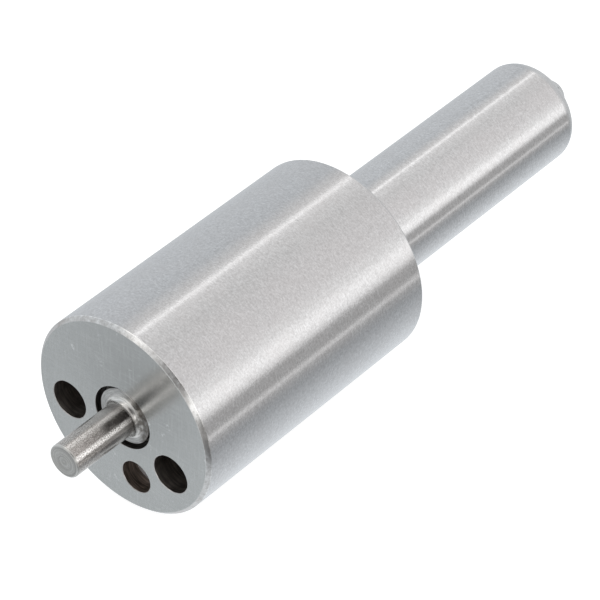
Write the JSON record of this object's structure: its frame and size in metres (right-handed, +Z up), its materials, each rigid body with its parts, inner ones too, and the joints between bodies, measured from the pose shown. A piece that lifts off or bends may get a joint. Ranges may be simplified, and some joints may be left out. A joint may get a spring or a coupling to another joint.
{
  "type": "fuel injector nozzle",
  "caption": "Long-shank steel fuel nozzle: a drilled, stepped cylinder with a domed spray tip and a sliding needle valve whose stem stands out of the flat sealing face.",
  "frame": {"origin": "on the surface that the nozzle lies on, under the middle of its overall length", "axes": "+X along the nozzle's axis towards the spray tip, so the sealing face and the needle's stem point to -X; +Z up"},
  "size_m": [0.0606, 0.017, 0.017],
  "materials": {
    "body_steel": "ground round the axis, satin, with a lapped matt sealing face",
    "needle_steel": "ground and lapped, semi-bright, slightly warm"
  },
  "bodies": {
    "body": {"nozzle_body": "body_steel"},
    "needle": {"needle_valve": "needle_steel"}
  },
  "joints": [
    {"name": "needle_slide", "type": "slide", "parent": "body", "child": "needle", "axis": [-1, 0, 0], "range_m": [0, 0.053]}
  ]
}
